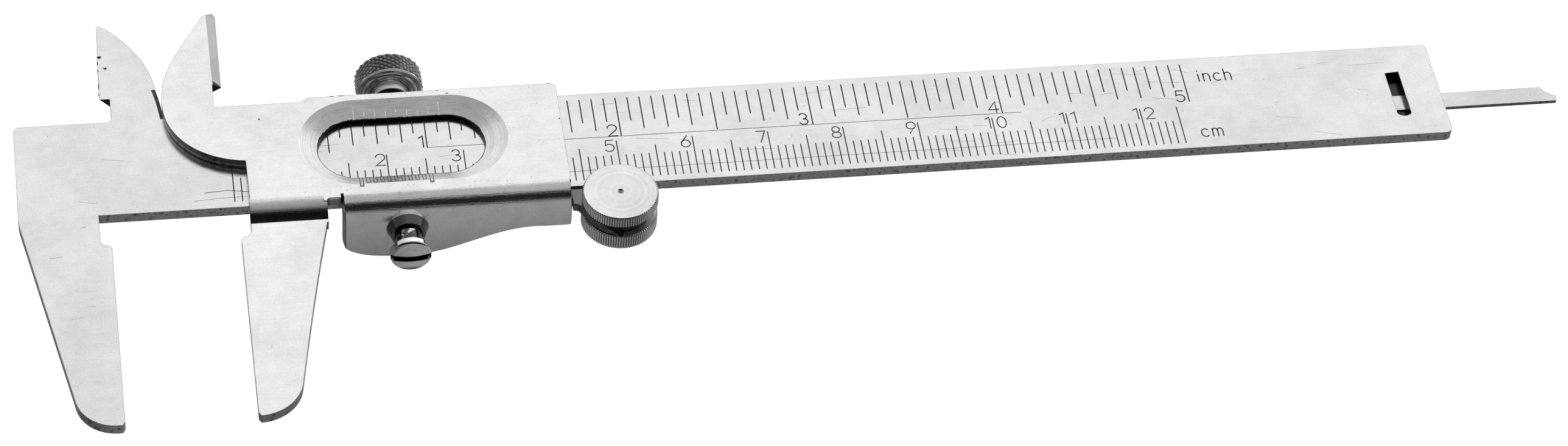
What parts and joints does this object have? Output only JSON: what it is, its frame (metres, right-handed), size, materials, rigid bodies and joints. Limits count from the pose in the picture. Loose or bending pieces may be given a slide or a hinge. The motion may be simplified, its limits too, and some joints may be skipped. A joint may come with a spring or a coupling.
{
  "type": "vernier caliper",
  "caption": "Thin pressed-steel vernier caliper with outside and inside jaws, thumb roller, lock screw and depth rod, set partly open.",
  "frame": {"origin": "on the beam's front face, where its lower edge meets the plane of the fixed outside jaw's measuring face", "axes": "+X out along the beam away from the fixed jaws, +Y across the beam toward the inside jaws, +Z out of the scale face"},
  "size_m": [0.2047, 0.0699, 0.0113],
  "materials": {
    "beam": "satin ground steel",
    "slider": "satin ground steel",
    "slider_back": "satin steel",
    "gib": "drawn strip",
    "lock_screw": "knurled, dull plated",
    "guide_screw": "bright plated",
    "hook": "spring steel",
    "roller": "turned and knurled",
    "depth_rod": "drawn steel strip",
    "rivets": "headed steel"
  },
  "bodies": {
    "frame": {"beam": "beam"},
    "slider": {"slider_plate": "slider", "slider_back": "slider_back", "roller_hook": "hook", "hook_pin_1": "rivets", "hook_pin_2": "rivets", "depth_rod": "depth_rod", "rod_rivet_1": "rivets", "rod_rivet_2": "rivets"},
    "lock": {"lock_screw": "lock_screw"},
    "gib": {"gib": "gib"},
    "guide": {"guide_screw": "guide_screw"},
    "roller": {"roller": "roller"}
  },
  "joints": [
    {"name": "slider_slide", "type": "slide", "parent": "frame", "child": "slider", "axis": [1, 0, 0], "range_m": [-0.01628, 0.1087]},
    {"name": "roller_spin", "type": "hinge", "parent": "slider", "child": "roller", "pos_m": [0.06512, -0.003, 0], "axis": [0, 0, 1], "range_deg": [-318, 2116]},
    {"name": "lock_turn", "type": "hinge", "parent": "slider", "child": "lock", "pos_m": [0.0375, 0.0196, -0.00096], "axis": [0, -1, 0], "range_deg": [0, 78]},
    {"name": "gib_press", "type": "slide", "parent": "slider", "child": "gib", "axis": [0, -1, 0], "range_m": [0, 0.000088]},
    {"name": "guide_turn", "type": "hinge", "parent": "slider", "child": "guide", "pos_m": [0.0377, -0.004, -0.00259], "axis": [0, 1, 0], "range_deg": [-180, 180]}
  ],
  "couplings": [
    {"joint": "roller_spin", "follows": "slider_slide", "rad_per_m": 338.98},
    {"joint": "gib_press", "follows": "lock_turn", "m_per_rad": 0.000063662}
  ]
}
